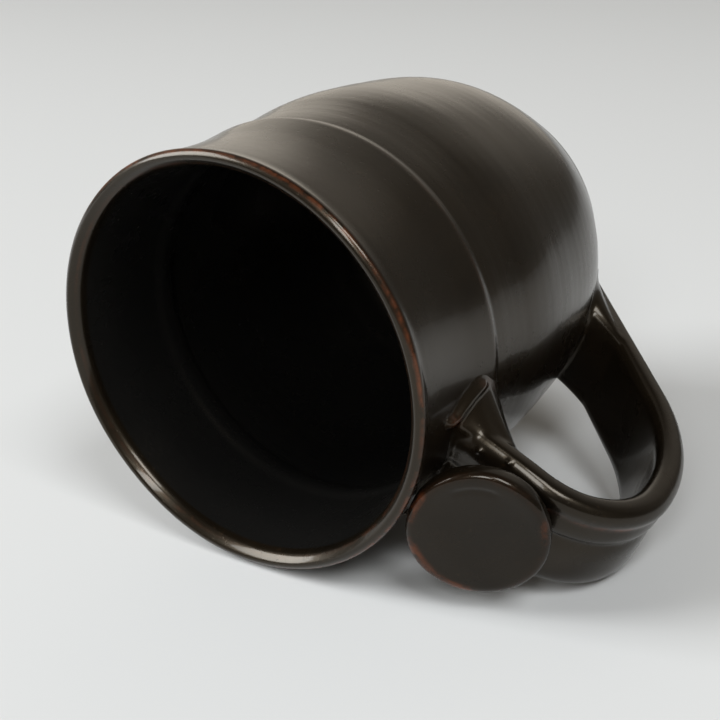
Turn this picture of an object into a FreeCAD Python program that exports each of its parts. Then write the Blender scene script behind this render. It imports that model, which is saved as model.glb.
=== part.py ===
import FreeCAD, Part
import os
import Sketcher

# A wheel-thrown stoneware mug standing on its foot: +Z up, origin at the centre of the foot's
# resting plane, handle towards -X. Lengths are in millimetres.

DIMENSIONS = [
    # lip
    ("mug_height", 100.0, "lip top above the table"),
    ("rim_radius", 42.6, "outermost edge of the lip"),
    ("rim_drop", 1.5, "lip top down to its outermost edge"),
    ("lip_crest_radius", 41.1, "highest line of the lip"),
    ("lip_inner_radius", 39.3, "edge where the lip's bevel meets the inner wall"),
    ("lip_inner_drop", 1.6, "lip top down to that edge"),
    ("lip_under_radius", 41.9, "neck radius just under the lip"),
    ("lip_under_drop", 3.4, "lip top down to the underside of the lip"),
    # neck and shoulder
    ("waist_radius", 41.5, "narrowest line of the neck"),
    ("waist_height", 84.0, "height of the narrowest line"),
    ("ridge_radius", 42.3, "ridge at the lower end of the neck"),
    ("ridge_height", 71.4, "height of the ridge"),
    ("crease_radius", 41.8, "crease between neck and belly"),
    ("crease_height", 70.2, "height of the crease"),
    # belly and foot
    ("belly_radius", 43.4, "widest line of the belly"),
    ("belly_height", 50.0, "height of the widest line"),
    ("hip_radius", 41.4, "where the belly starts to round in"),
    ("hip_height", 27.0, "height of that line"),
    ("round_radius", 37.6, "middle of the round from hip to foot"),
    ("round_height", 14.0, "height of that line"),
    ("foot_radius", 31.8, "outer edge of the foot"),
    ("foot_height", 2.0, "height of that edge"),
    ("rest_radius", 30.2, "outer edge of the flat that rests"),
    # cavity
    ("inner_waist_radius", 37.8, "narrowest line inside the neck"),
    ("inner_crease_radius", 38.2, "crease inside the shoulder"),
    ("inner_belly_radius", 39.3, "widest line inside the belly"),
    ("inner_hip_radius", 37.3, "inside the hip"),
    ("inner_round_radius", 33.6, "middle of the inner round"),
    ("inner_round_height", 14.4, "height of that line"),
    ("floor_edge_radius", 24.0, "where the inner round meets the floor"),
    ("floor_edge_height", 7.4, "height of that line"),
    ("floor_height", 6.6, "inner floor in the middle"),
    # handle, a pulled strap
    ("strap_height", 82.0, "middle of the strap's level top run"),
    ("strap_start", 35.0, "distance from the axis of the strap's buried upper end"),
    ("arch_start", 58.5, "distance from the axis where the top run ends"),
    ("arch_radius", 17.5, "upper bend along the middle of the strap"),
    ("back_radius", 40.0, "long bend down the handle's back"),
    ("back_angle", 49.0, "turn of the long bend in degrees"),
    ("tail_start", 31.0, "distance from the axis of the strap's buried lower end"),
    ("strap_width", 21.0, "strap across, at the top"),
    ("strap_thick", 5.8, "strap thickness at the top"),
    ("tail_width", 20.0, "strap across, at the lower end"),
    ("tail_thick", 5.0, "strap thickness at the lower end"),
    ("side_groove", 6.8, "groove beside the edge bead, from the middle"),
    ("centre_groove", 1.6, "groove beside the middle of the strap"),
    ("groove_depth", 0.8, "depth of both grooves"),
    # thumb rest
    ("disc_radius", 13.2, "thumb rest disc"),
    ("disc_thick", 5.0, "thumb rest disc, face to back"),
    ("disc_dish", 0.7, "depth of the thumb hollow"),
    ("disc_dish_halfway", 0.5, "its depth halfway out"),
    ("disc_round", 1.3, "rounding of the disc's edges"),
    ("disc_reach", 55.2, "middle of the disc's face from the axis"),
    ("disc_height", 93.6, "middle of the disc's face above the table"),
    ("disc_tilt", 20.5, "lean of the disc's face away from the mouth, in degrees"),
    ("skirt_radius", 11.6, "luting clay under the disc"),
    ("skirt_root_radius", 9.8, "luting clay down on the strap"),
    ("skirt_root_reach", 54.0, "middle of the clay on the strap from the axis"),
    ("skirt_root_height", 82.7, "level of the clay's lower end"),
    # flare of clay where the strap's upper end meets the neck
    ("flare_start", 36.0, "distance from the axis of the flare's buried end"),
    ("flare_half_width", 15.8, "half width of the buried end"),
    ("flare_shoulder", 11.5, "half width of its upper edge"),
    ("flare_rise", 1.1, "its upper edge above the middle of the strap"),
    ("flare_side_half_width", 14.2, "half width at the middle of its sides"),
    ("flare_side_fall", 3.8, "that line below the middle of the strap"),
    ("flare_fall", 11.4, "its lower corners below the middle of the strap"),
    ("flare_inner_fall", 9.8, "its inner face below the middle of the strap"),
    ("flare_waist", 45.0, "distance from the axis of the flare's waist"),
    ("flare_waist_fall", 6.6, "waist below the middle of the strap"),
    ("flare_end", 50.5, "distance from the axis where the flare dies out"),
    # flare where the lower end meets the belly
    ("tail_flare_start", 31.5, "distance from the axis of the flare's buried end"),
    ("tail_flare_height", 16.5, "middle of the buried end above the table"),
    ("tail_flare_half_width", 14.6, "half width of the buried end"),
    ("tail_flare_side_rise", 0.8, "widest line above its middle"),
    ("tail_flare_half_height", 8.4, "half height of the buried end"),
    ("tail_flare_shoulder", 11.7, "half width of its upper edge"),
    ("tail_flare_shoulder_rise", 5.9, "ends of the upper edge above its middle"),
    ("tail_flare_heel", 10.2, "half width of its lower edge"),
    ("tail_flare_heel_fall", 6.3, "ends of the lower edge below its middle"),
    ("tail_flare_waist", 44.0, "distance from the axis of the flare's waist"),
    ("tail_flare_waist_rise", 4.3, "waist above the middle of the strap"),
    ("tail_flare_end", 49.0, "distance from the axis where the flare dies out"),
    ("collar", 0.5, "clay left round the strap where a flare dies out"),
    ("collar_rise", 0.3, "outer edge of that clay above the strap's middle, at its sides"),
    ("collar_crown", 1.0, "the same in the middle of the strap"),
    ("collar_drop", 0.1, "widest point of that clay below the strap's middle"),
]

doc = FreeCAD.newDocument("mug")
dim = doc.addObject("Spreadsheet::Sheet", "dim")
for row, (alias, value, note) in enumerate(DIMENSIONS, start=1):
    dim.set("A%d" % row, note)
    dim.set("B%d" % row, str(value))
    dim.setAlias("B%d" % row, alias)
doc.recompute()

X_AXIS = FreeCAD.Vector(1, 0, 0)
Z_AXIS = FreeCAD.Vector(0, 0, 1)
ORIGIN = (-1, 1)
HORIZONTAL, VERTICAL = -1, -2


def worth(expression):
    """The number that an expression on the sheet has now."""
    return float(dim.evalExpression(expression))


def bind(sketch, kind, geometry, end, expression):
    """Hold one coordinate of a sketch point at an expression on the sheet."""
    value = worth(expression)
    if value == 0:
        axis = VERTICAL if kind == "DistanceX" else HORIZONTAL
        sketch.addConstraint(Sketcher.Constraint("PointOnObject", geometry, end, axis))
        return
    ends = (*ORIGIN, geometry, end)
    if value < 0:
        ends = (geometry, end, *ORIGIN)
        expression = "-(%s)" % expression
    number = sketch.addConstraint(Sketcher.Constraint(kind, *ends, abs(value)))
    sketch.setExpression("Constraints[%d]" % number, expression)


def pin(sketch, geometry, end, place):
    bind(sketch, "DistanceX", geometry, end, place[0])
    bind(sketch, "DistanceY", geometry, end, place[1])


def spot(place):
    return FreeCAD.Vector(worth(place[0]), worth(place[1]), 0)


def end_at(sketch, geometry, place):
    """Which end of an edge lies at a place: arcs are stored counter-clockwise."""
    return 1 if sketch.getPoint(geometry, 1).distanceToPoint(spot(place)) < 1e-6 else 2


def outline(name, start, runs, closed=True):
    """A sketch of lines and arcs. Each run is (end,) or (a point on the way, end)."""
    sketch = doc.addObject("Sketcher::SketchObject", name)
    here = start
    edges = []
    for run in runs:
        there = run[-1]
        if len(run) == 1:
            edge = sketch.addGeometry(Part.LineSegment(spot(here), spot(there)), False)
        else:
            edge = sketch.addGeometry(Part.Arc(spot(here), spot(run[0]), spot(there)), False)
            way = sketch.addGeometry(Part.Point(spot(run[0])), True)
            pin(sketch, way, 1, run[0])
            sketch.addConstraint(Sketcher.Constraint("PointOnObject", way, 1, edge))
        pin(sketch, edge, end_at(sketch, edge, there), there)
        edges.append((edge, end_at(sketch, edge, here), end_at(sketch, edge, there)))
        here = there
    if not closed:
        pin(sketch, edges[0][0], edges[0][1], start)
    followers = edges[1:] + (edges[:1] if closed else [])
    for (edge, _, end), (following, begin, _) in zip(edges, followers):
        sketch.addConstraint(Sketcher.Constraint("Coincident", edge, end, following, begin))
    return sketch


def turned(name, profile):
    """A solid of revolution about +Z of a profile whose sketch stands on the XZ plane."""
    profile.Placement = UPRIGHT
    solid = doc.addObject("Part::Revolution", name)
    solid.Source = profile
    solid.Axis = Z_AXIS
    solid.Angle = 360
    solid.Solid = True
    return solid


def lofted(name, sections):
    solid = doc.addObject("Part::Loft", name)
    solid.Sections = sections
    solid.Solid = True
    return solid


def less(name, base, *tools):
    """The base with each tool cut away in turn; the last cut takes the name."""
    for number, tool in enumerate(tools, start=1):
        last = number == len(tools)
        cut = doc.addObject("Part::Cut", name if last else "%s_cut_%d" % (name, number))
        cut.Base = base
        cut.Tool = tool
        base = cut
    return base


def put(thing, where, *turns):
    """Place a thing by expressions: where it goes, then its turns, outermost first."""
    spins = ["create(<<rotation>>; create(<<vector>>; %s); %s)" % turn for turn in turns]
    place = "create(<<placement>>; create(<<vector>>; %s; %s; %s); %s)"
    thing.setExpression("Placement", place % (*where, " * ".join(spins)))


UPRIGHT = FreeCAD.Placement(FreeCAD.Vector(), FreeCAD.Rotation(X_AXIS, 90))
# A sketch across the strap: its X towards -Y, its Y away from the finger gap, facing -X.
ACROSS = ("1; -1; -1", "120")


# The pot: an outer form with the cavity taken out of it.
FOOT_CORNER = (
    "dim.rest_radius + (dim.foot_radius - dim.rest_radius) * sin(45deg)",
    "dim.foot_height * (1 - cos(45deg))",
)
LIP_UNDER_HEIGHT = "dim.mug_height - dim.lip_under_drop"
LIP_INNER_HEIGHT = "dim.mug_height - dim.lip_inner_drop"
outer_profile = outline("outer_profile", ("0", "0"), [
    (("dim.rest_radius", "0"),),
    (FOOT_CORNER, ("dim.foot_radius", "dim.foot_height")),
    (("dim.round_radius", "dim.round_height"), ("dim.hip_radius", "dim.hip_height")),
    (("dim.belly_radius", "dim.belly_height"), ("dim.crease_radius", "dim.crease_height")),
    (("dim.ridge_radius", "dim.ridge_height"),),
    (("dim.waist_radius", "dim.waist_height"), ("dim.lip_under_radius", LIP_UNDER_HEIGHT)),
    (("dim.rim_radius", "dim.mug_height - dim.rim_drop"),),
    (("dim.lip_crest_radius", "dim.mug_height"), ("dim.lip_inner_radius", LIP_INNER_HEIGHT)),
    (("0", LIP_INNER_HEIGHT),),
    (("0", "0"),),
])
outer_form = turned("outer_form", outer_profile)

# The cavity runs on past the lip, so that the cut leaves nothing across the mouth.
ABOVE_LIP = "dim.mug_height + dim.rim_drop"
INNER_HIP = ("dim.inner_hip_radius", "dim.hip_height")
INNER_CREASE = ("dim.inner_crease_radius", "dim.crease_height")
cavity_profile = outline("cavity_profile", ("0", "dim.floor_height"), [
    (("dim.floor_edge_radius", "dim.floor_edge_height"),),
    (("dim.inner_round_radius", "dim.inner_round_height"), INNER_HIP),
    (("dim.inner_belly_radius", "dim.belly_height"), INNER_CREASE),
    (("dim.inner_waist_radius", "dim.waist_height"), ("dim.lip_inner_radius", LIP_INNER_HEIGHT)),
    (("dim.lip_inner_radius", ABOVE_LIP),),
    (("0", ABOVE_LIP),),
    (("0", "dim.floor_height"),),
])
cavity_form = turned("cavity_form", cavity_profile)
thrown_body = less("thrown_body", outer_form, cavity_form)


# The handle's middle line: level run, tight arch, long back, straight tail into the belly.
ARCH_END = ("dim.arch_start + dim.arch_radius", "dim.strap_height - dim.arch_radius")
BACK_CENTRE = "(%s - dim.back_radius)" % ARCH_END[0]


def on_arch(angle):
    return (
        "dim.arch_start + dim.arch_radius * sin(%s)" % angle,
        "%s + dim.arch_radius * cos(%s)" % (ARCH_END[1], angle),
    )


def on_back(angle):
    return (
        "%s + dim.back_radius * cos(%s)" % (BACK_CENTRE, angle),
        "%s - dim.back_radius * sin(%s)" % (ARCH_END[1], angle),
    )


HEEL = on_back("dim.back_angle * 1deg")


def tail_height(reach):
    """Height of the straight tail's middle line at a distance from the axis."""
    return "%s - (%s - %s) / tan(dim.back_angle * 1deg)" % (HEEL[1], HEEL[0], reach)


spine = outline("spine", ("dim.strap_start", "dim.strap_height"), [
    (("dim.arch_start", "dim.strap_height"),),
    (on_arch("45deg"), ARCH_END),
    (on_back("dim.back_angle * 0.5deg"), HEEL),
    (("dim.tail_start", tail_height("dim.tail_start")),),
], closed=False)
put(spine, ("0", "0", "0"), ("0; 0; 1", "180"), ("1; 0; 0", "90"))


def strap_section(name, width, thick):
    """A pulled strap cut across: edge bead, rib and one wide lobe outside, smooth inside."""
    groove = "%s / 2 - dim.groove_depth" % thick
    return outline(name, ("%s / 2" % width, "0"), [
        (("(%s / 2 + dim.side_groove) / 2" % width, "%s / 2" % thick), ("dim.side_groove", groove)),
        (
            ("(dim.side_groove + dim.centre_groove) / 2", "%s / 2" % thick),
            ("dim.centre_groove", groove),
        ),
        (("(dim.centre_groove - %s / 2) / 2" % width, "%s / 2" % thick), ("-%s / 2" % width, "0")),
        (("0", "-%s / 2" % thick), ("%s / 2" % width, "0")),
    ])


TO_TAIL = ("0; 1; 0", "-90 - dim.back_angle")
INWARDS = ("0; 1; 0", "-180")
strap_root = strap_section("strap_root", "dim.strap_width", "dim.strap_thick")
put(strap_root, ("-dim.strap_start", "0", "dim.strap_height"), ACROSS)
strap_tail = strap_section("strap_tail", "dim.tail_width", "dim.tail_thick")
put(strap_tail, ("-dim.tail_start", "0", tail_height("dim.tail_start")), TO_TAIL, ACROSS)

strap_form = doc.addObject("Part::Sweep", "strap_form")
strap_form.Sections = [strap_root, strap_tail]
strap_form.Spine = (spine, [])
strap_form.Solid = True
pulled_handle = less("pulled_handle", strap_form, outer_form)


# The luting flares shrink onto the strap's sides and inner face.
def flare_section(name, outer, side, inner, crown, belly):
    """Four arcs through (half width, height) corners: outer edge, side, inner edge.

    Heights run towards the strap's outside; crown and belly are the middles' heights.
    """
    return outline(name, ("-(%s)" % outer[0], outer[1]), [
        (("0", crown), outer),
        (side, inner),
        (("0", belly), ("-(%s)" % inner[0], inner[1])),
        (("-(%s)" % side[0], side[1]), ("-(%s)" % outer[0], outer[1])),
    ])


def hugging_section(name, width, inner):
    """A section that wraps the strap's sides and inner face, standing off by the collar."""
    edge = "%s / 2 + dim.collar" % width
    shoulder = "%s / 2 - dim.collar" % width
    return flare_section(
        name,
        (shoulder, "dim.collar_rise"),
        (edge, "0 - dim.collar_drop"),
        (shoulder, "0 - %s / 2" % inner),
        "dim.collar_crown",
        "0 - %s - dim.collar" % inner,
    )


flare_root = flare_section(
    "flare_root",
    ("dim.flare_shoulder", "dim.flare_rise"),
    ("dim.flare_side_half_width", "0 - dim.flare_side_fall"),
    ("dim.flare_half_width", "0 - dim.flare_fall"),
    "dim.flare_rise + dim.collar",
    "0 - dim.flare_inner_fall",
)
put(flare_root, ("-dim.flare_start", "0", "dim.strap_height"), ACROSS)
flare_waist = hugging_section(
    "flare_waist", "(dim.strap_width + 2 * dim.collar)", "dim.flare_waist_fall")
put(flare_waist, ("-dim.flare_waist", "0", "dim.strap_height"), ACROSS)
flare_tip = hugging_section("flare_tip", "dim.strap_width", "dim.strap_thick / 2")
put(flare_tip, ("-dim.flare_end", "0", "dim.strap_height"), ACROSS)
upper_flare_form = lofted("upper_flare_form", [flare_root, flare_waist, flare_tip])
upper_joint_flare = less("upper_joint_flare", upper_flare_form, strap_form, outer_form)

tail_flare_root = flare_section(
    "tail_flare_root",
    ("dim.tail_flare_shoulder", "dim.tail_flare_shoulder_rise"),
    ("dim.tail_flare_half_width", "dim.tail_flare_side_rise"),
    ("dim.tail_flare_heel", "0 - dim.tail_flare_heel_fall"),
    "dim.tail_flare_half_height",
    "0 - dim.tail_flare_half_height",
)
put(tail_flare_root, ("-dim.tail_flare_start", "0", "dim.tail_flare_height"), INWARDS, ACROSS)
tail_flare_waist = hugging_section(
    "tail_flare_waist", "(dim.tail_width + 2 * dim.collar)", "dim.tail_flare_waist_rise")
put(
    tail_flare_waist, ("-dim.tail_flare_waist", "0", tail_height("dim.tail_flare_waist")),
    TO_TAIL, ACROSS)
tail_flare_tip = hugging_section(
    "tail_flare_tip", "(dim.tail_width + dim.collar)", "dim.tail_thick / 2")
put(
    tail_flare_tip, ("-dim.tail_flare_end", "0", tail_height("dim.tail_flare_end")),
    TO_TAIL, ACROSS)
lower_flare_form = lofted("lower_flare_form", [tail_flare_root, tail_flare_waist, tail_flare_tip])
lower_joint_flare = less("lower_joint_flare", lower_flare_form, strap_form, outer_form)


# The thumb rest: a dished disc on a skirt of luting clay.
DISC_CORNER_OUT = "dim.disc_radius - dim.disc_round * (1 - cos(45deg))"
DISC_CORNER_IN = "dim.disc_round * (1 - sin(45deg))"
disc_profile = outline("disc_profile", ("0", "-dim.disc_dish"), [
    (("dim.disc_radius / 2", "-dim.disc_dish_halfway"), ("dim.disc_radius - dim.disc_round", "0")),
    ((DISC_CORNER_OUT, "-%s" % DISC_CORNER_IN), ("dim.disc_radius", "-dim.disc_round")),
    (("dim.disc_radius", "dim.disc_round - dim.disc_thick"),),
    (
        (DISC_CORNER_OUT, "%s - dim.disc_thick" % DISC_CORNER_IN),
        ("dim.disc_radius - dim.disc_round", "-dim.disc_thick"),
    ),
    (("0", "-dim.disc_thick"),),
    (("0", "-dim.disc_dish"),),
])
disc_form = turned("disc_form", disc_profile)
LEAN = ("0; 1; 0", "-dim.disc_tilt")
put(disc_form, ("-dim.disc_reach", "0", "dim.disc_height"), LEAN)
thumb_rest_disc = less("thumb_rest_disc", disc_form, outer_form)


def ring(name, radius, where, *turns):
    circle = doc.addObject("Part::Circle", name)
    circle.setExpression("Radius", radius)
    put(circle, where, *turns)
    return circle


DISC_BACK = (
    "-dim.disc_reach + dim.disc_thick * sin(dim.disc_tilt * 1deg)",
    "0",
    "dim.disc_height - dim.disc_thick * cos(dim.disc_tilt * 1deg)",
)
skirt_top = ring("skirt_top", "dim.skirt_radius", DISC_BACK, LEAN)
LEVEL = ("0; 1; 0", "0")
SKIRT_FOOT = ("-dim.skirt_root_reach", "0", "dim.skirt_root_height")
skirt_root = ring("skirt_root", "dim.skirt_root_radius", SKIRT_FOOT, LEVEL)
skirt_form = lofted("skirt_form", [skirt_root, skirt_top])
thumb_rest_skirt = less("thumb_rest_skirt", skirt_form, strap_form, outer_form, upper_flare_form)

doc.recompute()

PARTS = [
    thrown_body,
    pulled_handle,
    upper_joint_flare,
    lower_joint_flare,
    thumb_rest_disc,
    thumb_rest_skirt,
]
for thing in doc.Objects:
    if "Invalid" in thing.State or "Error" in thing.State:
        raise RuntimeError("%s did not build: %s" % (thing.Name, thing.State))

os.makedirs("parts", exist_ok=True)
for part in PARTS:
    part.Label = part.Name
    if part.Shape.isNull() or not part.Shape.isValid():
        raise RuntimeError("%s has no valid shape" % part.Name)
    part.Shape.exportStep("parts/%s.step" % part.Label)
    print(part.Label, round(part.Shape.Volume), part.Shape.optimalBoundingBox())
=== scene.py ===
import math

import bmesh
import bpy
import numpy as np
from mathutils import Matrix, Vector


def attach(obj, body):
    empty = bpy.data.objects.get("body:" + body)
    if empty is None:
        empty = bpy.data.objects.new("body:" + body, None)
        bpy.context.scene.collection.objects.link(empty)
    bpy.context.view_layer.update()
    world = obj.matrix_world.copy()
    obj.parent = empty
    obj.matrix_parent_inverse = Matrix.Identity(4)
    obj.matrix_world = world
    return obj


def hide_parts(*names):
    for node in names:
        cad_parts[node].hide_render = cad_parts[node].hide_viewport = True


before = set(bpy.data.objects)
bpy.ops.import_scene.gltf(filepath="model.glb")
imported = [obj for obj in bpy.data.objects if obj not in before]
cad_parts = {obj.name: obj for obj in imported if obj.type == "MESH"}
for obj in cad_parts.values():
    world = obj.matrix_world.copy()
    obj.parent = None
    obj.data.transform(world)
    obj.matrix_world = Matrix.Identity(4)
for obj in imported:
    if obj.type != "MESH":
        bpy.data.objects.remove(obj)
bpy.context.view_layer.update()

# Sizes are in millimetres, as in the part, and become metres where a mesh is made.
MM = 0.001


# ---------------------------------------------------------------- curves and meshes
def smoothstep(a, b, x):
    """0 below a, 1 above b, and a smooth change between them."""
    t = np.clip((x - a) / (b - a), 0.0, 1.0)
    return t * t * (3.0 - 2.0 * t)


def peak(x, centre, width):
    """A bell curve of height 1."""
    return np.exp(-(((x - centre) / width) ** 2))


def peak_near(points, centre, width):
    """A bell curve of height 1, by the distance of each point from a centre."""
    return np.exp(-((points - centre) ** 2).sum(axis=1) / width ** 2)


def spline(points, step=0.4):
    """Centripetal Catmull-Rom curve through 2-D points, sampled about every step."""
    p = np.asarray(points, float)
    q = np.vstack([2 * p[0] - p[1], p, 2 * p[-1] - p[-2]])
    out = []
    for i in range(1, len(q) - 2):
        p0, p1, p2, p3 = q[i - 1:i + 3]
        t1 = np.linalg.norm(p1 - p0) ** 0.5
        t2 = t1 + np.linalg.norm(p2 - p1) ** 0.5
        t3 = t2 + np.linalg.norm(p3 - p2) ** 0.5
        n = max(2, int(np.linalg.norm(p2 - p1) / step) + 1)
        t = np.linspace(t1, t2, n)[:, None]
        a1 = (t1 - t) / t1 * p0 + t / t1 * p1
        a2 = (t2 - t) / (t2 - t1) * p1 + (t - t1) / (t2 - t1) * p2
        a3 = (t3 - t) / (t3 - t2) * p2 + (t - t2) / (t3 - t2) * p3
        b1 = (t2 - t) / t2 * a1 + t / t2 * a2
        b2 = (t3 - t) / (t3 - t1) * a2 + (t - t1) / (t3 - t1) * a3
        c = (t2 - t) / (t2 - t1) * b1 + (t - t1) / (t2 - t1) * b2
        out.append(c if i == len(q) - 3 else c[:-1])
    return np.vstack(out)


def chain(*runs):
    """Splines joined end to start, each a smooth run, with a corner where two meet."""
    out = []
    for run in runs:
        c = spline(run)
        out.append(c if not out else c[1:])
    return np.vstack(out)


def closed_curve(points, per=10):
    """Smooth closed ring through corner points, with so many samples to each."""
    p = np.asarray(points, float)
    n = len(p)
    out = []
    for i in range(n):
        p0, p1, p2, p3 = p[i - 1], p[i], p[(i + 1) % n], p[(i + 2) % n]
        for t in np.arange(per) / per:
            square = (2 * p0 - 5 * p1 + 4 * p2 - p3) * t * t
            cube = (3 * p1 - p0 - 3 * p2 + p3) * t ** 3
            out.append(0.5 * (2 * p1 + (p2 - p0) * t + square + cube))
    return np.array(out)


def angles(count):
    """Evenly spaced angles round a full turn."""
    return np.arange(count) * 2 * np.pi / count


def grid_faces(rows, cols):
    """Quads of a grid that closes round its columns, vertex index row * cols + col."""
    faces = []
    for i in range(rows - 1):
        a, b = i * cols, (i + 1) * cols
        for j in range(cols):
            k = (j + 1) % cols
            faces.append((a + j, a + k, b + k, b + j))
    return faces


def turned_faces(rows, cols):
    """Faces of a turned shape: its grid, and a fan at each end round a centre point put last."""
    first, last, end = rows * cols, rows * cols + 1, (rows - 1) * cols
    faces = grid_faces(rows, cols)
    faces += [(first, (j + 1) % cols, j) for j in range(cols)]
    faces += [(last, end + j, end + (j + 1) % cols) for j in range(cols)]
    return faces


def section_loft(sections):
    """A closed solid through rings of equal count, as (vertices, faces)."""
    cols = len(sections[0])
    verts = np.vstack(sections)
    faces = grid_faces(len(sections), cols)
    faces.append(tuple(range(cols)))
    faces.append(tuple((len(sections) - 1) * cols + j for j in reversed(range(cols))))
    return verts, faces


def add_attributes(mesh, attributes):
    """Per-vertex numbers that the glaze reads."""
    for label, values in attributes:
        layer = mesh.attributes.new(label, "FLOAT", "POINT")
        layer.data.foreach_set("value", np.asarray(values, float).ravel())


def make_object(name, verts, faces, attributes=()):
    """A smooth mesh object from vertices in millimetres, its normals facing out."""
    mesh = bpy.data.meshes.new(name)
    mesh.from_pydata((np.asarray(verts) * MM).tolist(), [], faces)
    mesh.update()
    bm = bmesh.new()
    bm.from_mesh(mesh)
    bmesh.ops.recalc_face_normals(bm, faces=bm.faces)
    bm.to_mesh(mesh)
    bm.free()
    mesh.polygons.foreach_set("use_smooth", [True] * len(mesh.polygons))
    add_attributes(mesh, attributes)
    obj = bpy.data.objects.new(name, mesh)
    bpy.context.scene.collection.objects.link(obj)
    return obj


def joined(name, meshes, voxel, rounds):
    """One closed skin round overlapping solids, its seams softened."""
    all_verts, all_faces, start = [], [], 0
    for verts, faces in meshes:
        all_verts.append(verts)
        all_faces += [tuple(i + start for i in face) for face in faces]
        start += len(verts)
    raw = make_object(name + "_raw", np.vstack(all_verts), all_faces)
    remesh = raw.modifiers.new("remesh", "REMESH")
    remesh.mode = "VOXEL"
    remesh.voxel_size = voxel * MM
    smooth = raw.modifiers.new("smooth", "SMOOTH")
    smooth.factor = 0.5
    smooth.iterations = rounds
    graph = bpy.context.evaluated_depsgraph_get()
    mesh = bpy.data.meshes.new_from_object(raw.evaluated_get(graph))
    bpy.data.objects.remove(raw)
    return mesh


def vertex_vectors(mesh, what):
    """The vertices' places ("co") or normals ("normal") as rows of three."""
    values = np.empty(len(mesh.vertices) * 3)
    mesh.vertices.foreach_get(what, values)
    return values.reshape(-1, 3)


# ---------------------------------------------------------------- the pot
# (radius, height) outlines. Each list is one smooth run, and two runs meet at a corner.
OUTSIDE = [
    [(29.6, 0.0), (30.6, 0.3), (31.35, 1.0), (31.8, 2.2)],
    [(31.8, 2.2), (32.8, 4), (34.8, 8), (36.7, 12), (38.4, 16), (39.75, 20), (40.75, 24),
     (41.45, 28), (41.95, 32), (42.35, 36), (42.75, 40), (43.05, 44), (43.3, 48), (43.3, 52),
     (43.05, 56), (42.6, 60), (42.25, 64), (41.98, 68), (41.8, 70.1)],
    [(41.8, 70.1), (42.0, 70.75), (42.25, 71.4), (42.33, 72.2), (42.2, 73.6), (41.92, 76.5),
     (41.65, 80), (41.55, 84), (41.62, 88), (41.8, 91.5), (42.0, 94.5), (42.15, 96.4),
     (42.35, 97.4), (42.58, 98.1), (42.55, 98.45)],
]
# a bead rounded outside, with a bevel leading down into the mouth
LIP = [
    (42.55, 98.45), (42.38, 98.85), (42.05, 99.18), (41.62, 99.44), (41.2, 99.52), (40.85, 99.36),
    (40.5, 99.08), (40.15, 98.75), (39.8, 98.38), (39.52, 97.95), (39.3, 97.35), (39.15, 96.6),
]
LIP_STEP = 0.2
INNER_FLOOR_Z = 6.6
INSIDE = [
    [(39.15, 96.6), (38.85, 95.0), (38.3, 91.5), (38.0, 88), (37.95, 84), (37.9, 80), (37.72, 77),
     (37.2, 75.2), (37.15, 73.6), (37.6, 71.6), (38.3, 69.8), (38.6, 67.8), (38.95, 64),
     (39.2, 57), (39.3, 50), (39.15, 44), (38.75, 38), (38.15, 32), (37.25, 27), (35.9, 22),
     (33.9, 16.5), (31.2, 12), (27.6, 9.0), (22.5, 7.4), (15, 6.8), (6, INNER_FLOOR_Z)],
]
WALL = chain(*OUTSIDE)
SEGMENTS = 640
ON_OUTSIDE, ON_LIP, ON_INSIDE = 0, 1, 2

# heights over which the throwing marks come in or die out
ABOVE_FOOT = (3.0, 12.0)
AT_SHOULDER = (70.0, 72.0)
BELOW_LIP = (94.0, 98.0)
INTO_LIP = (95.0, 97.5)
# where the glaze breaks thin: height, spread, strength, and between which radii
POT_RUST = (
    (98.85, 0.34, 1.00, 41.9, 50.0),  # the lip's outer edge
    (98.60, 0.35, 0.22, 38.5, 40.2),  # the lip's inner edge
    (71.90, 0.45, 0.10, 40.0, 50.0),  # the ridge at the shoulder
)


def wall_radius(z):
    """Radius of the pot's outside at a height."""
    return np.interp(z, WALL[:, 1], WALL[:, 0])


def on_wall(y, z, lift=0.0):
    """A point on the pot's outside, on the handle's side."""
    r = wall_radius(z) + lift
    return np.array([-math.sqrt(max(r * r - y * y, 0.0)), y, z])


def wobble(angle, z):
    """How far a hand-thrown wall stands off a true circle."""
    return (
        0.16 * np.sin(2 * angle + 0.9 + 0.012 * z)
        + 0.07 * np.sin(3 * angle - 1.3 + 0.03 * z)
        + 0.05 * np.sin(5 * angle + 0.05 * z)
    )


def throwing_lines(angle, z, phase, pitch):
    """Fine spiral lines left by the potter's fingers: one main spiral and two finer ones."""
    turn = angle / (2 * np.pi)
    soft = 0.5 + 0.5 * np.sin(0.31 * z + phase)
    return (
        0.0045 * np.sin(2 * np.pi * (z / pitch + turn) + phase)
        + 0.003 * soft * np.sin(2 * np.pi * (z / (0.43 * pitch) + turn) + 2.1 * phase)
        + 0.002 * np.sin(2 * np.pi * (z / (0.21 * pitch) - turn) + 0.7 * phase)
    )


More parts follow.
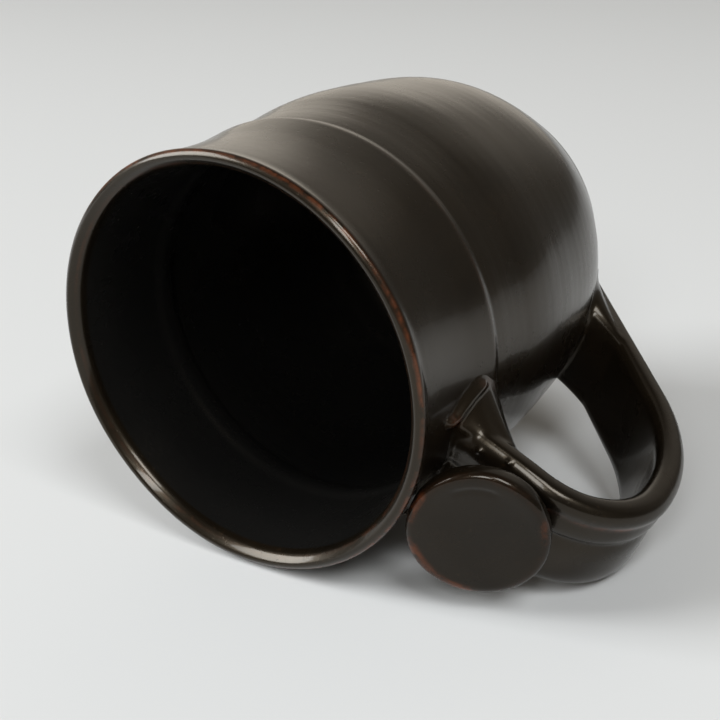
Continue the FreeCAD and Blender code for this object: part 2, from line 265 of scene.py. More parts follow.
def pot_object():
    """The pot as (object, vertices): outside, lip and inside in one turned skin."""
    lip = spline(LIP, LIP_STEP)
    inner = chain(*INSIDE)
    profile = np.vstack([WALL, lip[1:], inner[1:]])
    zone = np.repeat((ON_OUTSIDE, ON_LIP, ON_INSIDE), (len(WALL), len(lip) - 1, len(inner) - 1))
    around = angles(SEGMENTS)
    angle, radius = np.meshgrid(around, profile[:, 0])
    _, height = np.meshgrid(around, profile[:, 1])
    _, zone = np.meshgrid(around, zone)

    lines = smoothstep(*ABOVE_FOOT, height) * np.where(zone == ON_LIP, 0.0, 1.0)
    lines *= 1.0 - 0.8 * smoothstep(*AT_SHOULDER, height) * (1 - smoothstep(*BELOW_LIP, height))
    lines *= 1.0 - smoothstep(*INTO_LIP, height)
    # out of round, but neither at the foot nor in the middle of the inner floor
    thrown = radius + wobble(angle, height) * smoothstep(1.0, 20.0, height) * smoothstep(10.0, 30.0, radius)
    thrown = thrown + np.where(
        zone == ON_OUTSIDE,
        throwing_lines(angle, height, 0.4, 3.1) * lines,
        -1.6 * throwing_lines(angle, height, 2.0, 4.3) * lines,
    )
    # the lip isn't quite level
    wave = 0.10 * np.sin(3 * angle + 0.4) + 0.06 * np.sin(7 * angle + 2.0)
    waved = height + wave * smoothstep(94.0, 99.0, height)

    verts = np.stack([thrown * np.cos(angle), thrown * np.sin(angle), waved], axis=-1).reshape(-1, 3)
    verts = np.vstack([verts, [[0, 0, 0.0], [0, 0, INNER_FLOOR_Z]]])
    rust = 0.0
    for z, spread, strength, low, high in POT_RUST:
        rust = rust + strength * peak(height, z, spread) * (radius > low) * (radius < high)
    inside = np.where(zone == ON_INSIDE, 1.0, 0.0)
    # the two centre points: no rust, and the second one is inside
    attributes = [("rust", np.append(rust, [0, 0])), ("inside", np.append(inside, [0, 1]))]
    faces = turned_faces(len(profile), SEGMENTS)
    return make_object("thrown_body_glazed", verts, faces, attributes), verts


body, body_verts = pot_object()

# ---------------------------------------------------------------- the strap
# Its middle line runs straight out, turns down in an arch, bends back and ends in a straight
# tail. Reach is the distance from the pot's axis, and both ends are inside the wall.
STRAP_Z = 82.0
STRAP_START = 37.5
ARCH_START = 58.5
ARCH_R = 17.5
BACK_R = 40.0
BACK_ANGLE = math.radians(49)
TAIL_END = 31.0
ARCH_END = (ARCH_START + ARCH_R, STRAP_Z - ARCH_R)
HEEL = (
    ARCH_END[0] - BACK_R + BACK_R * math.cos(BACK_ANGLE),
    ARCH_END[1] - BACK_R * math.sin(BACK_ANGLE),
)
# lengths along the strap at which each stretch starts, and its whole length
TO_ARCH = ARCH_START - STRAP_START
TO_BACK = TO_ARCH + ARCH_R * math.pi / 2
TO_TAIL = TO_BACK + BACK_R * BACK_ANGLE
STRAP_LENGTH = TO_TAIL + (HEEL[0] - TAIL_END) / math.sin(BACK_ANGLE)
STRAP_STEP = 0.6

# (lengths along the strap, sizes there)
WIDTHS = ([0, 9, 18, 30, TO_BACK, STRAP_LENGTH], [21.6, 23.0, 22.8, 21.6, 21.2, 20.0])
THICKNESSES = (
    [0, TO_ARCH, (TO_ARCH + TO_BACK) / 2, TO_BACK, TO_TAIL, STRAP_LENGTH],
    [5.8, 5.8, 6.3, 6.2, 5.6, 5.0],
)
# the section is drawn at this half width and thickness, and scaled from them
DRAWN_HALF, DRAWN_THICK = 10.5, 6.0
# a height that is below every lobe
BELOW_ALL = -9.0


def spine_at(t):
    """(reach, height, turn) of the strap's middle line at a length along it."""
    if t < TO_ARCH:
        return STRAP_START + t, STRAP_Z, 0.0
    if t < TO_BACK:
        turn = (t - TO_ARCH) / ARCH_R
        return ARCH_START + ARCH_R * math.sin(turn), STRAP_Z - ARCH_R * (1 - math.cos(turn)), turn
    if t < TO_TAIL:
        bend = (t - TO_BACK) / BACK_R
        reach = ARCH_END[0] - BACK_R * (1 - math.cos(bend))
        return reach, ARCH_END[1] - BACK_R * math.sin(bend), math.pi / 2 + bend
    d = t - TO_TAIL
    turn = math.pi / 2 + BACK_ANGLE
    return HEEL[0] + d * math.cos(turn), HEEL[1] - d * math.sin(turn), turn


def across(reach, height, turn, u, v):
    """A ring set square to the strap: u across it towards -Y, v away from the fingers."""
    return np.stack([-(reach + v * math.sin(turn)), -u, height + v * math.cos(turn)], axis=-1)


def lobe(u, centre, half, height, power=2.0):
    """A mound across the strap: half an ellipse at power 2, flatter on top at a higher one."""
    x = np.abs((u - centre) / half)
    return np.where(x < 1, height * np.sqrt(np.clip(1 - x ** power, 0, None)), BELOW_ALL)


def highest(surfaces, sharpness):
    """The highest of several surfaces, with the valleys between them a little filled."""
    values = np.stack(surfaces)
    top = values.max(axis=0)
    return top + np.log(np.exp((values - top) * sharpness).sum(axis=0)) / sharpness


def strap_outline(width, thick, swell, count=160):
    """Points (u, v) round the strap's section. Swell, from 0 to 1, fattens its bead."""
    half = width / 2
    s = half / DRAWN_HALF
    h = thick / DRAWN_THICK
    a = angles(count)
    u = half * np.cos(a) / s
    # a round bead along one edge, a flat band beside it, and one broad low lobe
    bead = lobe(u, 8.1 - 1.1 * swell, 2.6 + 1.3 * swell, 2.95 + 0.2 * swell)
    band = lobe(u, 4.5, 3.2, 2.5, 3.0)
    broad = lobe(u, -4.0, 6.55, 2.3, 3.2)
    upper = highest([bead, band, broad], 5.0)
    # the fingers' side is flat with round edges
    beyond_flat = np.clip(np.abs(u) - 7.6, 0, 2.9) / 2.95
    lower = -3.0 * np.sqrt(1 - beyond_flat ** 2)
    v = np.where(np.sin(a) >= 0, np.maximum(upper, 0), lower)
    return u * s, v * h


def strap_mesh():
    """The strap, its bead fatter near the pot."""
    sections = []
    for t in np.arange(0, STRAP_LENGTH + 0.001, STRAP_STEP):
        swell = 1 - smoothstep(14.0, 27.0, t)
        u, v = strap_outline(np.interp(t, *WIDTHS), np.interp(t, *THICKNESSES), swell)
        sections.append(across(*spine_at(t), u, v))
    return section_loft(sections)


# ---------------------------------------------------------------- the flares
# Outlines (u, v) about the strap's middle line: the roots lie in the wall, and the tips are
# where the smeared clay has thinned to the strap's own section.
UPPER_ROOT = np.array([
    (0, 2.2), (6, 3.2), (10.6, 4.8), (12.9, 3.6), (14.9, 0.0), (16.2, -4.4), (14.9, -8.2),
    (10.6, -12.8), (0, -12.0), (-9.0, -10.2), (-13.0, -9.4), (-14.0, -7.0), (-13.4, -4.0),
    (-12.2, -0.5), (-10.4, 2.4), (-6, 2.4),
])
UPPER_TIP = np.array([
    (0, 0.6), (5, 0.7), (9.3, 0.6), (10.3, 0.1), (10.35, -0.4), (10.0, -1.1), (9.0, -1.7),
    (5, -2.4), (0, -2.7), (-5, -2.4), (-9.0, -1.7), (-10.0, -1.1), (-10.35, -0.4),
    (-10.3, 0.1), (-9.3, 0.6), (-5, 0.7),
])
LOWER_ROOT = np.array([
    (0, 7), (6, 6.8), (10.0, 5.5), (12.8, 2.6), (14.2, -1.0), (13.4, -4.4), (10.8, -6.6),
    (6, -7.6), (0, -7.6), (-6, -6.4), (-9.6, -4.6), (-11.2, -2.4), (-11.6, 0.2),
    (-11.0, 3.0), (-9.4, 5.5), (-6, 6.8),
])
LOWER_TIP = np.array([
    (0, 0.6), (5, 0.7), (8.9, 0.6), (9.8, 0.1), (9.9, -0.3), (9.5, -1.0), (8.6, -1.5),
    (5, -2.1), (0, -2.3), (-5, -2.1), (-8.6, -1.5), (-9.5, -1.0), (-9.9, -0.3),
    (-9.8, 0.1), (-8.9, 0.6), (-5, 0.7),
])
# how far out the flares reach, and where the upper one leaves the wall
UPPER_TIP_REACH, UPPER_WALL_REACH = 57.0, 40.3
LOWER_TIP_REACH = 53.0
LOWER_ROOT_AT = np.array([36.0, 16.8])
# (y, z) along the smeared edge of the upper flare, from the neck round to its tip
FLARE_EDGE = [(11.8, 88.0), (12.6, 86.0), (13.8, 83.4), (15.2, 79.4), (15.7, 76.8), (15.5, 75.4)]
# a direction that no tube here runs along
OFF_AXIS = (1.0, 0.2, 0.1)


def upper_flare():
    """The strap's upper end smeared on to the neck."""
    # the inner face swells sooner than the sides
    inner_face = smoothstep(4.0, 11.0, -UPPER_ROOT[:, 1:])
    sections = []
    for reach in np.linspace(STRAP_START, UPPER_TIP_REACH, 40):
        q = np.clip((UPPER_TIP_REACH - reach) / (UPPER_TIP_REACH - UPPER_WALL_REACH), 0, 1.15)
        w = (q / (1.1 - 0.1 * inner_face)) ** (2.3 - 1.2 * inner_face)
        ring = closed_curve(UPPER_TIP + (UPPER_ROOT - UPPER_TIP) * w)
        sections.append(across(reach, STRAP_Z, 0.0, *ring.T))
    return section_loft(sections)


def lower_flare():
    """The strap's lower end smeared on to the belly, turning to run straight into the wall."""
    reach, height, tip_turn = spine_at(TO_TAIL + (HEEL[0] - LOWER_TIP_REACH) / math.sin(BACK_ANGLE))
    tip_at = np.array([reach, height])
    sections = []
    for q in np.linspace(0, 1.12, 30):
        w = q ** 2.2
        centre = tip_at + (LOWER_ROOT_AT - tip_at) * q
        turn = tip_turn + (math.pi - tip_turn) * min(q, 1.0)
        ring = closed_curve(LOWER_TIP + (LOWER_ROOT - LOWER_TIP) * w)
        sections.append(across(*centre, turn, *ring.T))
    return section_loft(sections)


def tube(points, radius, count=14):
    """A round tube with tapered ends along 3-D points."""
    p = np.asarray(points, float)
    n = len(p)
    a = angles(count)
    sections = []
    for i in range(n):
        d = p[min(i + 1, n - 1)] - p[max(i - 1, 0)]
        d /= np.linalg.norm(d)
        side = np.cross(d, OFF_AXIS)
        side /= np.linalg.norm(side)
        up = np.cross(side, d)
        r = radius * math.sqrt(max(0.05, 1 - (2 * i / (n - 1) - 1) ** 4))
        sections.append(p[i] + r * (np.cos(a)[:, None] * side + np.sin(a)[:, None] * up))
    return section_loft(sections)


def flare_lip(side):
    """The raised rim of smeared clay along the upper flare's edge, on one side of the strap."""
    path = spline(FLARE_EDGE, 0.5)
    return tube([on_wall(-side * y, z, 0.60) for y, z in path], 1.05)


def glaze_drop(centre, radius, count=20):
    """A round drop of glaze."""
    a = angles(count)
    sections = []
    for tilt in np.linspace(0.1, math.pi - 0.1, 12):
        flat = math.sin(tilt)
        ring = np.stack([flat * np.cos(a), flat * np.sin(a), np.full(count, math.cos(tilt))], axis=-1)
        sections.append(centre + radius * ring)
    return section_loft(sections)


# ---------------------------------------------------------------- the thumb rest's place
# A disc tilted out from the mouth: its centre, its normal, and two directions across its face.
DISC_R = 13.2
DISC_TILT = math.radians(20.5)
DISC_LEAN = -0.085
DISC_C = np.array([-55.7, 0.75, 93.4])
DISC_N = np.array([-math.sin(DISC_TILT), DISC_LEAN, math.cos(DISC_TILT)])
DISC_N /= np.linalg.norm(DISC_N)
DISC_U = np.cross(DISC_N, [0.0, 1.0, 0.0])
DISC_U /= np.linalg.norm(DISC_U)
DISC_V = np.cross(DISC_N, DISC_U)

SKIRT_FOOT = np.array([-54.0, -0.6, 82.4])
# the skirt's head is this far below the disc's rim, and this far off its centre, at an angle
SKIRT_DEPTH, SKIRT_OFF, SKIRT_OFF_ANGLE = 2.2, 1.3, 2.0


def skirt_mesh():
    """The short stalk of clay under the disc, widening upwards from the strap."""
    a = angles(96)
    off = math.cos(SKIRT_OFF_ANGLE) * DISC_U + math.sin(SKIRT_OFF_ANGLE) * DISC_V
    head = DISC_C - DISC_N * SKIRT_DEPTH + SKIRT_OFF * off
    sections = []
    for q in np.linspace(0, 1, 22):
        centre = SKIRT_FOOT + (head - SKIRT_FOOT) * q
        r = 10.9 + 2.4 * smoothstep(0.1, 0.8, q) - 0.7 * smoothstep(0.84, 1.0, q) ** 2
        u = np.array([1.0, 0, 0]) * (1 - q) + DISC_U * q
        v = np.array([0, 1.0, 0]) * (1 - q) + DISC_V * q
        sections.append(centre + r * (np.cos(a)[:, None] * u + np.sin(a)[:, None] * v))
    return section_loft(sections)


# ---------------------------------------------------------------- the handle in one skin
VOXEL, SMOOTH_ROUNDS = 0.36, 18
# radius of the glaze's fillet against the pot
FILLET = 1.2
# the handle's buried ends reach this far into the wall
BURIED = 1.3
# small drops of glaze where the strap leaves the flare
STRAP_DROPS = ((-46.5, -9.0, 84.9), (-52.5, -10.3, 84.4))
DROP_HEIGHT, DROP_WIDTH = 0.45, 0.55
# the drop at the top of the flare's edge: (y, z, lift off the wall)
NECK_DROP = (-12.4, 87.7, 0.5)
NECK_DROP_R = 1.05
# thin glaze along the groove beside the bead: its place across the strap and its spread
GROOVE_AT, GROOVE_WIDTH = 6.75, 0.45
# thin glaze at the upper flare's edge: (y, z, strength)
FLARE_RUST = ((15.9, 74.3, 0.9), (16.3, 76.6, 0.5), (14.6, 73.0, 0.7), (12.4, 86.8, 0.8))
FLARE_RUST_WIDTH = 1.2


def filleted(points, normals):
    """Pushes the skin outwards beside the pot's wall, as glaze fills the corner there."""
    r = np.hypot(points[:, 0], points[:, 1])
    radial = np.stack([points[:, 0] / r, points[:, 1] / r, np.zeros(len(points))], axis=-1)
    gap = r - wall_radius(points[:, 2])
    sideways = normals - (normals * radial).sum(axis=1)[:, None] * radial
    length = np.linalg.norm(sideways, axis=1)
    sideways /= np.maximum(length, 1e-6)[:, None]
    depth = np.clip(FILLET - np.clip(gap, 0, None), 0, FILLET)
    push = FILLET - np.sqrt(FILLET ** 2 - depth ** 2)
    return points + sideways * (push * smoothstep(0.2, 0.7, length))[:, None]


def kept_in_wall(points):
    """Holds what is buried in the pot inside the thickness of its wall."""
    r = np.hypot(points[:, 0], points[:, 1])
    limit = wall_radius(points[:, 2]) - BURIED
    points[:, :2] *= np.where(r < limit, limit / r, 1.0)[:, None]
    return points


def with_drops(points, normals):
    """Raises the strap's skin to a small drop near each place."""
    for near in STRAP_DROPS:
        middle = points[np.argmin(((points - near) ** 2).sum(axis=1))]
        points = points + normals * (DROP_HEIGHT * peak_near(points, middle, DROP_WIDTH))[:, None]
    return points


def along_strap(points):
    """The length along the strap nearest to each point, and its distance from the middle line."""
    best = np.full(len(points), 1e9)
    near_t = np.zeros(len(points))
    near_v = np.zeros(len(points))
    for t in np.linspace(0, STRAP_LENGTH, 400):
        reach, height, turn = spine_at(t)
        out, rise = -points[:, 0] - reach, points[:, 2] - height
        d = out ** 2 + rise ** 2
        hit = d < best
        best[hit] = d[hit]
        near_t[hit] = t
        near_v[hit] = (out * math.sin(turn) + rise * math.cos(turn))[hit]
    return near_t, near_v


def handle_rust(points):
    """Thin glaze along the strap's groove and at the upper flare's edge."""
    t, v = along_strap(points)
    groove = peak(-points[:, 1], GROOVE_AT, GROOVE_WIDTH) * (v > 1.0)
    groove = groove * smoothstep(12, 18, t) * (1 - smoothstep(46, 60, t))
    edge = np.zeros(len(points))
    for side in (1, -1):
        for y, z, strength in FLARE_RUST:
            edge += strength * peak_near(points, on_wall(-side * y, z, 1.0), FLARE_RUST_WIDTH)
    return np.clip(0.8 * groove + 0.9 * edge, 0, 1)


def handle_object():
    """Strap, flares, skirt and glaze drops as (object, points in millimetres)."""
    solids = [
        strap_mesh(), upper_flare(), lower_flare(), flare_lip(1), flare_lip(-1), skirt_mesh(),
        glaze_drop(on_wall(*NECK_DROP), NECK_DROP_R),
    ]
    mesh = joined("strap", solids, VOXEL, SMOOTH_ROUNDS)
    normals = vertex_vectors(mesh, "normal")
    points = kept_in_wall(filleted(vertex_vectors(mesh, "co") / MM, normals))
    points = with_drops(points, normals)
    mesh.vertices.foreach_set("co", (points * MM).ravel())
    mesh.update()
    obj = bpy.data.objects.new("strap_handle_glazed", mesh)
    bpy.context.scene.collection.objects.link(obj)
    mesh.polygons.foreach_set("use_smooth", [True] * len(mesh.polygons))
    add_attributes(mesh, [("rust", handle_rust(points)), ("inside", np.zeros(len(points)))])
    return obj, points


handle, handle_points = handle_object()

# ---------------------------------------------------------------- the thumb rest
# (radius, height) outline from the middle of the dish, over the rolled edge, to the underside
DISH_Z, UNDER_Z = -0.75, -5.0
DISC_OUTLINE = [
    [(0.15, DISH_Z), (3, -0.74), (6, -0.62), (9, -0.34), (11.0, -0.07), (11.8, 0.0)],
    [(11.8, 0.0), (12.35, -0.1), (12.8, -0.42), (13.08, -0.95), (13.15, -1.6)],
    [(13.15, -1.6), (13.1, -3.0), (12.85, -3.9), (12.3, -4.6), (11.4, -4.95), (10.5, UNDER_Z)],
]
DISC_SEGMENTS = 256
# a crescent pressed in by the thumb, near the edge that faces away from the floor
CRESCENT_R, CRESCENT_WIDTH, CRESCENT_DEPTH = 9.6, 0.50, 0.30
CRESCENT_ANGLE = math.radians(116)
# thin glaze on the rolled edge: faint all round, and marks at (angle, half angle, strength)
EDGE_R, EDGE_WIDTH = 12.4, 0.6
EDGE_RUST = ((252, 46, 3.4), (33, 14, 1.0), (178, 18, 0.9))


def disc_object():
    """The thumb rest: a dished disc with a rolled edge, a little out of round and out of flat."""
    outline = chain(*DISC_OUTLINE)
    around = angles(DISC_SEGMENTS)
    angle, radius = np.meshgrid(around, outline[:, 0])
    _, height = np.meshgrid(around, outline[:, 1])
    uneven = 0.16 * np.sin(2 * angle + 0.5) + 0.09 * np.sin(3 * angle + 2.2)
    radius = radius + uneven * (radius / DISC_R) ** 2
    x, y = radius * np.cos(angle), 1.03 * radius * np.sin(angle)

    on_top = smoothstep(-1.2, 0.0, height)
    off_crescent = smoothstep(0.30, 0.52, np.abs(angle - CRESCENT_ANGLE))
    dent = CRESCENT_DEPTH * peak(radius, CRESCENT_R, CRESCENT_WIDTH) * (1 - off_crescent)
    waves = 0.10 * np.sin(0.42 * x + 0.8) + 0.05 * np.sin(0.55 * y + 0.3 * x - 0.6)
    droop = 0.6 * smoothstep(1.0, 14.0, -y) ** 1.5
    height = height - dent * on_top + waves * on_top - droop * on_top

    points = DISC_C + x[..., None] * DISC_U + y[..., None] * DISC_V + height[..., None] * DISC_N
    verts = np.vstack([points.reshape(-1, 3), DISC_C + DISH_Z * DISC_N, DISC_C + UNDER_Z * DISC_N])

    edge = peak(radius, EDGE_R, EDGE_WIDTH) * (height > -1.6)
    rust = 0.10 * edge
    for middle_angle, half_angle, strength in EDGE_RUST:
        middle, half = math.radians(middle_angle), math.radians(half_angle)
        off = np.abs((angle - middle + np.pi) % (2 * np.pi) - np.pi)
        rust = rust + strength * edge * (1 - smoothstep(0.5 * half, half, off))
    attributes = [("rust", np.append(np.clip(rust, 0, 1), [0, 0])), ("inside", np.zeros(len(verts)))]
    faces = turned_faces(len(outline), DISC_SEGMENTS)
    return make_object("thumb_disc_glazed", verts, faces, attributes)


disc = disc_object()

# ---------------------------------------------------------------- the glaze
DARK_GLAZE = (0.0034, 0.0025, 0.0016)
WARM_GLAZE = (0.0080, 0.0053, 0.0029)
# a lighter neutral grey for the pot's inside: painted light that brightens its shaded interior
INSIDE_PAINTED_LIGHT = (0.0060, 0.0058, 0.0055)
IRON_SPECK = (0.03, 0.016, 0.008)
RUST = (0.105, 0.029, 0.011)
WARM_REFLECTION = (1.0, 0.82, 0.60, 1)


def socket(node, name, kind):
    """A Mix node's input by name and kind, because it has one of each name for every kind."""
    return next(s for s in node.inputs if s.name == name and s.type == kind)


def glaze(name, level, coat):
    """A dark satin glaze: a dull warm reflection, of some level, under a clear skin."""
    mat = bpy.data.materials.new(name)
    mat.use_nodes = True
    nodes, links = mat.node_tree.nodes, mat.node_tree.links
    bsdf = nodes["Principled BSDF"]
    coord = nodes.new("ShaderNodeTexCoord")

    def noise(scale, detail, roughness=0.5, distortion=0.0):
        n = nodes.new("ShaderNodeTexNoise")
        n.inputs["Scale"].default_value = scale
        n.inputs["Detail"].default_value = detail
        n.inputs["Roughness"].default_value = roughness
        n.inputs["Distortion"].default_value = distortion
        links.new(coord.outputs["Object"], n.inputs["Vector"])
        return n.outputs["Fac"]

    def ramp(value, *stops):
        """Greys at two places along the value."""
        node = nodes.new("ShaderNodeValToRGB")
        for element, (position, grey) in zip(node.color_ramp.elements, stops):
            element.position = position
            element.color = (grey, grey, grey, 1)
        links.new(value, node.inputs["Fac"])
        return node.outputs["Color"]

    def maths(operation, a, b):
        node = nodes.new("ShaderNodeMath")
        node.operation = operation
        for entry, value in zip(node.inputs, (a, b)):
            if isinstance(value, (int, float)):
                entry.default_value = value
            else:
                links.new(value, entry)
        return node.outputs[0]

    def mix(fac, a, b):
        """A colour between two, each a socket or three numbers."""
        node = nodes.new("ShaderNodeMix")
        node.data_type = "RGBA"
        links.new(fac, node.inputs["Factor"])
        for key, colour in (("A", a), ("B", b)):
            entry = socket(node, key, "RGBA")
            if isinstance(colour, tuple):
                entry.default_value = (*colour, 1)
            else:
                links.new(colour, entry)
        return next(s for s in node.outputs if s.type == "RGBA")

    def attribute(label):
        node = nodes.new("ShaderNodeAttribute")
        node.attribute_name = label
        return node.outputs["Fac"]

    # cloudy brown-black, with fine iron specks; inside the pot a lighter neutral grey, painted light that
    # brightens the shaded interior
    cloud = ramp(noise(38.0, 5.0, 0.6, 0.4), (0.35, 0), (0.68, 1))
    colour = mix(cloud, DARK_GLAZE, WARM_GLAZE)
    speck = ramp(noise(900.0, 2.0, 0.5), (0.66, 0), (0.74, 1))
    colour = mix(maths("MULTIPLY", speck, 0.3), colour, IRON_SPECK)
    colour = mix(attribute("inside"), colour, INSIDE_PAINTED_LIGHT)
    # rust where the glaze runs thin, broken up finely and along its length
    wear = attribute("rust")
    broken = ramp(noise(420.0, 4.0, 0.65), (0.36, 0), (0.58, 1))
    patchy = ramp(noise(75.0, 2.0, 0.5), (0.35, 0.25), (0.6, 1))
    colour = mix(maths("MULTIPLY", maths("MULTIPLY", wear, broken), patchy), colour, RUST)
    links.new(colour, bsdf.inputs["Base Color"])

    rough = ramp(noise(55.0, 4.0, 0.6), (0.3, 0.23), (0.7, 0.31))
    links.new(rough, bsdf.inputs["Roughness"])
    bsdf.inputs["IOR"].default_value = 1.41
    bsdf.inputs["Specular IOR Level"].default_value = level
    bsdf.inputs["Specular Tint"].default_value = WARM_REFLECTION
    bsdf.inputs["Coat Weight"].default_value = coat
    bsdf.inputs["Coat Roughness"].default_value = 0.08
    bsdf.inputs["Coat IOR"].default_value = 1.5

    # orange peel and pinholes
    peel = noise(620.0, 3.0, 0.55)
    wide = noise(120.0, 3.0, 0.5)
    pits = ramp(noise(1500.0, 1.0, 0.4), (0.70, 0), (0.78, 1))
    skin = maths("ADD", maths("MULTIPLY", peel, 0.35), wide)
    bump = nodes.new("ShaderNodeBump")
    bump.inputs["Strength"].default_value = 0.22
    bump.inputs["Distance"].default_value = 0.0002
    links.new(maths("SUBTRACT", skin, maths("MULTIPLY", pits, 0.6)), bump.inputs["Height"])
    links.new(bump.outputs["Normal"], bsdf.inputs["Normal"])
    return mat


body.data.materials.append(glaze("body_glaze_detail", 0.5, 0.30))
handle.data.materials.clear()
handle.data.materials.append(glaze("handle_glaze_detail", 0.45, 0.25))
# the glaze is duller on the thumb rest
disc.data.materials.append(glaze("thumb_glaze_detail", 0.26, 0.32))

for piece, slot_name, replaced in (
    (body, "body_glaze", ("thrown_body",)),
    (handle, "handle_glaze", ("pulled_handle", "upper_joint_flare", "lower_joint_flare", "thumb_rest_skirt")),
    (disc, "handle_glaze", ("thumb_rest_disc",)),
):
    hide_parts(*replaced)
    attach(piece, "root")

# ---------------------------------------------------------------- the room
# The mug lies on its side: the floor touches the lip, the belly and the strap.
FLOOR_N = np.array([-0.44, 0.90, 0.017])
FLOOR_N /= np.linalg.norm(FLOOR_N)
FLOOR_HALF = 4.0
PALE = (0.68, 0.68, 0.675, 1)
CAM_RIGHT = Vector((-0.77088, -0.32617, -0.54714)).normalized()
CAM_FWD = Vector((0.28716, 0.58877, -0.75557)).normalized()
CAM_UP = CAM_RIGHT.cross(CAM_FWD)
CAM_LOC = Vector((-88.7, -154.5, 271.0)) * MM
LENS, SENSOR = 65.0, 36.0

# the room's directions: up from the floor, and right and straight away from the camera
up = Vector(-FLOOR_N)
right = (CAM_RIGHT - CAM_RIGHT.dot(up) * up).normalized()
away = up.cross(right)
middle = Vector((-0.01, 0, 0.05))


def room(azimuth, elevation):
    """A direction in the room: azimuth from straight away, positive to the right."""
    az, el = math.radians(azimuth), math.radians(elevation)
    return away * (math.cos(el) * math.cos(az)) + right * (math.cos(el) * math.sin(az)) + up * math.sin(el)


def pale_floor():
    """A flat sheet under the mug, seen from above only: from below it is clear."""
    mesh = bpy.data.meshes.new("floor")
    # every seventh point of the pot finds its lowest place closely enough
    lowest = max((body_verts[::7] @ FLOOR_N).max(), (handle_points @ FLOOR_N).max())
    centre = Vector(FLOOR_N) * (lowest * MM) + Vector((0, 0, 0.05))
    corners = []
    for x, y in ((-1, -1), (1, -1), (1, 1), (-1, 1)):
        corners.append(tuple(centre + right * (x * FLOOR_HALF) + away * (y * FLOOR_HALF)))
    mesh.from_pydata(corners, [], [(0, 1, 2, 3)])
    mesh.update()
    obj = bpy.data.objects.new("floor", mesh)
    bpy.context.scene.collection.objects.link(obj)
    if mesh.polygons[0].normal.dot(up) < 0:
        mesh.flip_normals()

    mat = bpy.data.materials.new("floor")
    mat.use_nodes = True
    nodes, links = mat.node_tree.nodes, mat.node_tree.links
    matt = nodes["Principled BSDF"]
    matt.inputs["Base Color"].default_value = PALE
    matt.inputs["Roughness"].default_value = 0.9
    matt.inputs["Specular IOR Level"].default_value = 0.1
    back = nodes.new("ShaderNodeNewGeometry").outputs["Backfacing"]
    clear = nodes.new("ShaderNodeBsdfTransparent")
    either = nodes.new("ShaderNodeMixShader")
    links.new(back, either.inputs["Fac"])
    links.new(matt.outputs["BSDF"], either.inputs[1])
    links.new(clear.outputs["BSDF"], either.inputs[2])
    links.new(either.outputs["Shader"], nodes["Material Output"].inputs["Surface"])
    mesh.materials.append(mat)
    return obj


floor = pale_floor()

# ---------------------------------------------------------------- light
LAMP_DISTANCE = 2.5
LAMP_WHITE = (0.97, 1.0, 1.02)
# name, azimuth, elevation, (width, height), radiance
LAMPS = (
    ("window", -90, 31, (1.5, 1.2), 10.0),
    ("overhead", 155, 52, (0.95, 0.95), 10.5),
    ("skylight", -164, 36, (0.42, 1.0), 13.5),
)
ROOM_WARMTH = (1.0, 0.92, 0.80, 1)
# the room's own light, as (cosine of the angle from straight up, strength)
WALLS, CEILING = (0.70, 0.11), (0.97, 0.03)
# soft glows on the walls, each fading from its core to its edge: azimuth, elevation, strength
GLOWS = (
    (0, 4, 0.74),
    (20, 30, 0.30),
    (-60, 58, 0.24),
    (140, 30, 0.10),
    (-100, 30, 0.14),
    (-72, 4, 0.14),
    (60, 30, 0.10),
    (-28, 16, 0.14),
)
GLOW_EDGE, GLOW_CORE = math.radians(34), math.radians(3)
BACKDROP = 0.72


def softbox(name, azimuth, elevation, size, radiance):
    """A rectangular lamp that faces the mug."""
    data = bpy.data.lights.new(name, "AREA")
    data.shape = "RECTANGLE"
    data.size, data.size_y = size
    data.energy = radiance * math.pi * size[0] * size[1]
    data.color = LAMP_WHITE
    lamp = bpy.data.objects.new(name, data)
    lamp.location = middle + room(azimuth, elevation) * LAMP_DISTANCE
    lamp.rotation_mode = "QUATERNION"
    lamp.rotation_quaternion = (-room(azimuth, elevation)).to_track_quat("-Z", "Y")
    bpy.context.scene.collection.objects.link(lamp)


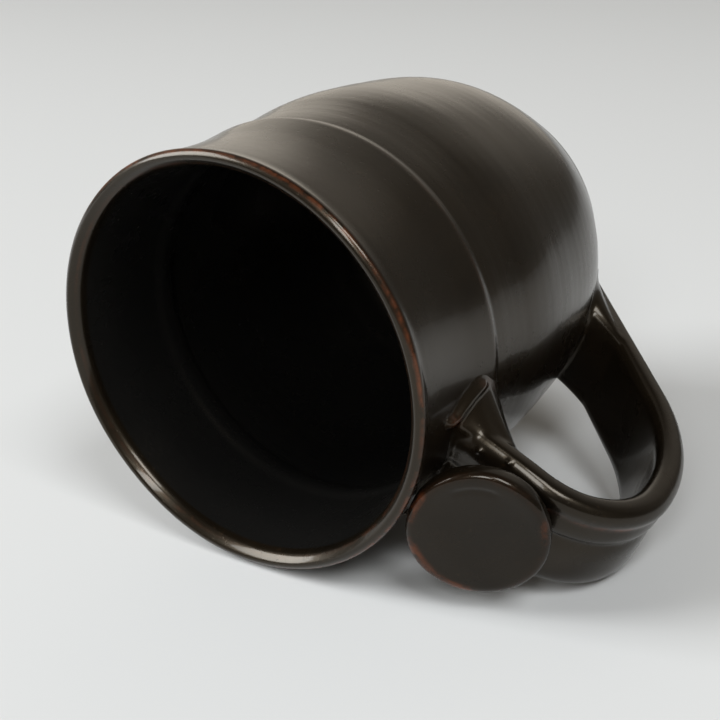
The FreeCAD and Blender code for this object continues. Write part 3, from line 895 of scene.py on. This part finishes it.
def studio_world():
    """A dim warm room with glows on its walls, and a pale backdrop where the camera sees it."""
    world = bpy.data.worlds.new("studio")
    bpy.context.scene.world = world
    world.use_nodes = True
    nodes, links = world.node_tree.nodes, world.node_tree.links
    background = nodes["Background"]
    direction = nodes.new("ShaderNodeTexCoord").outputs["Generated"]

    def toward(axis, low, high, low_value, high_value):
        """A smooth change of value with the cosine of the angle from an axis."""
        dot = nodes.new("ShaderNodeVectorMath")
        dot.operation = "DOT_PRODUCT"
        links.new(direction, dot.inputs[0])
        dot.inputs[1].default_value = tuple(axis)
        spread = nodes.new("ShaderNodeMapRange")
        spread.interpolation_type = "SMOOTHSTEP"
        links.new(dot.outputs["Value"], spread.inputs["Value"])
        spread.inputs["From Min"].default_value = low
        spread.inputs["From Max"].default_value = high
        spread.inputs["To Min"].default_value = low_value
        spread.inputs["To Max"].default_value = high_value
        return spread.outputs["Result"]

    level = toward(up, WALLS[0], CEILING[0], WALLS[1], CEILING[1])
    for azimuth, elevation, strength in GLOWS:
        glow = toward(room(azimuth, elevation), math.cos(GLOW_EDGE), math.cos(GLOW_CORE), 0.0, strength)
        total = nodes.new("ShaderNodeMath")
        total.operation = "ADD"
        links.new(level, total.inputs[0])
        links.new(glow, total.inputs[1])
        level = total.outputs[0]
    seen = nodes.new("ShaderNodeMix")
    seen.data_type = "FLOAT"
    path = nodes.new("ShaderNodeLightPath")
    links.new(path.outputs["Is Camera Ray"], socket(seen, "Factor", "VALUE"))
    links.new(level, socket(seen, "A", "VALUE"))
    socket(seen, "B", "VALUE").default_value = BACKDROP
    links.new(seen.outputs[0], background.inputs["Strength"])
    background.inputs["Color"].default_value = ROOM_WARMTH


for lamp in LAMPS:
    softbox(*lamp)
studio_world()

# ---------------------------------------------------------------- camera
cam_data = bpy.data.cameras.new("camera")
cam_data.lens = LENS
cam_data.sensor_width = SENSOR
cam_data.clip_start, cam_data.clip_end = 0.01, 50
camera = bpy.data.objects.new("camera", cam_data)
pose = Matrix((CAM_RIGHT, CAM_UP, -CAM_FWD)).transposed().to_4x4()
pose.translation = CAM_LOC
camera.matrix_world = pose
bpy.context.scene.collection.objects.link(camera)
bpy.context.scene.camera = camera
bpy.context.scene.view_settings.view_transform = "Standard"
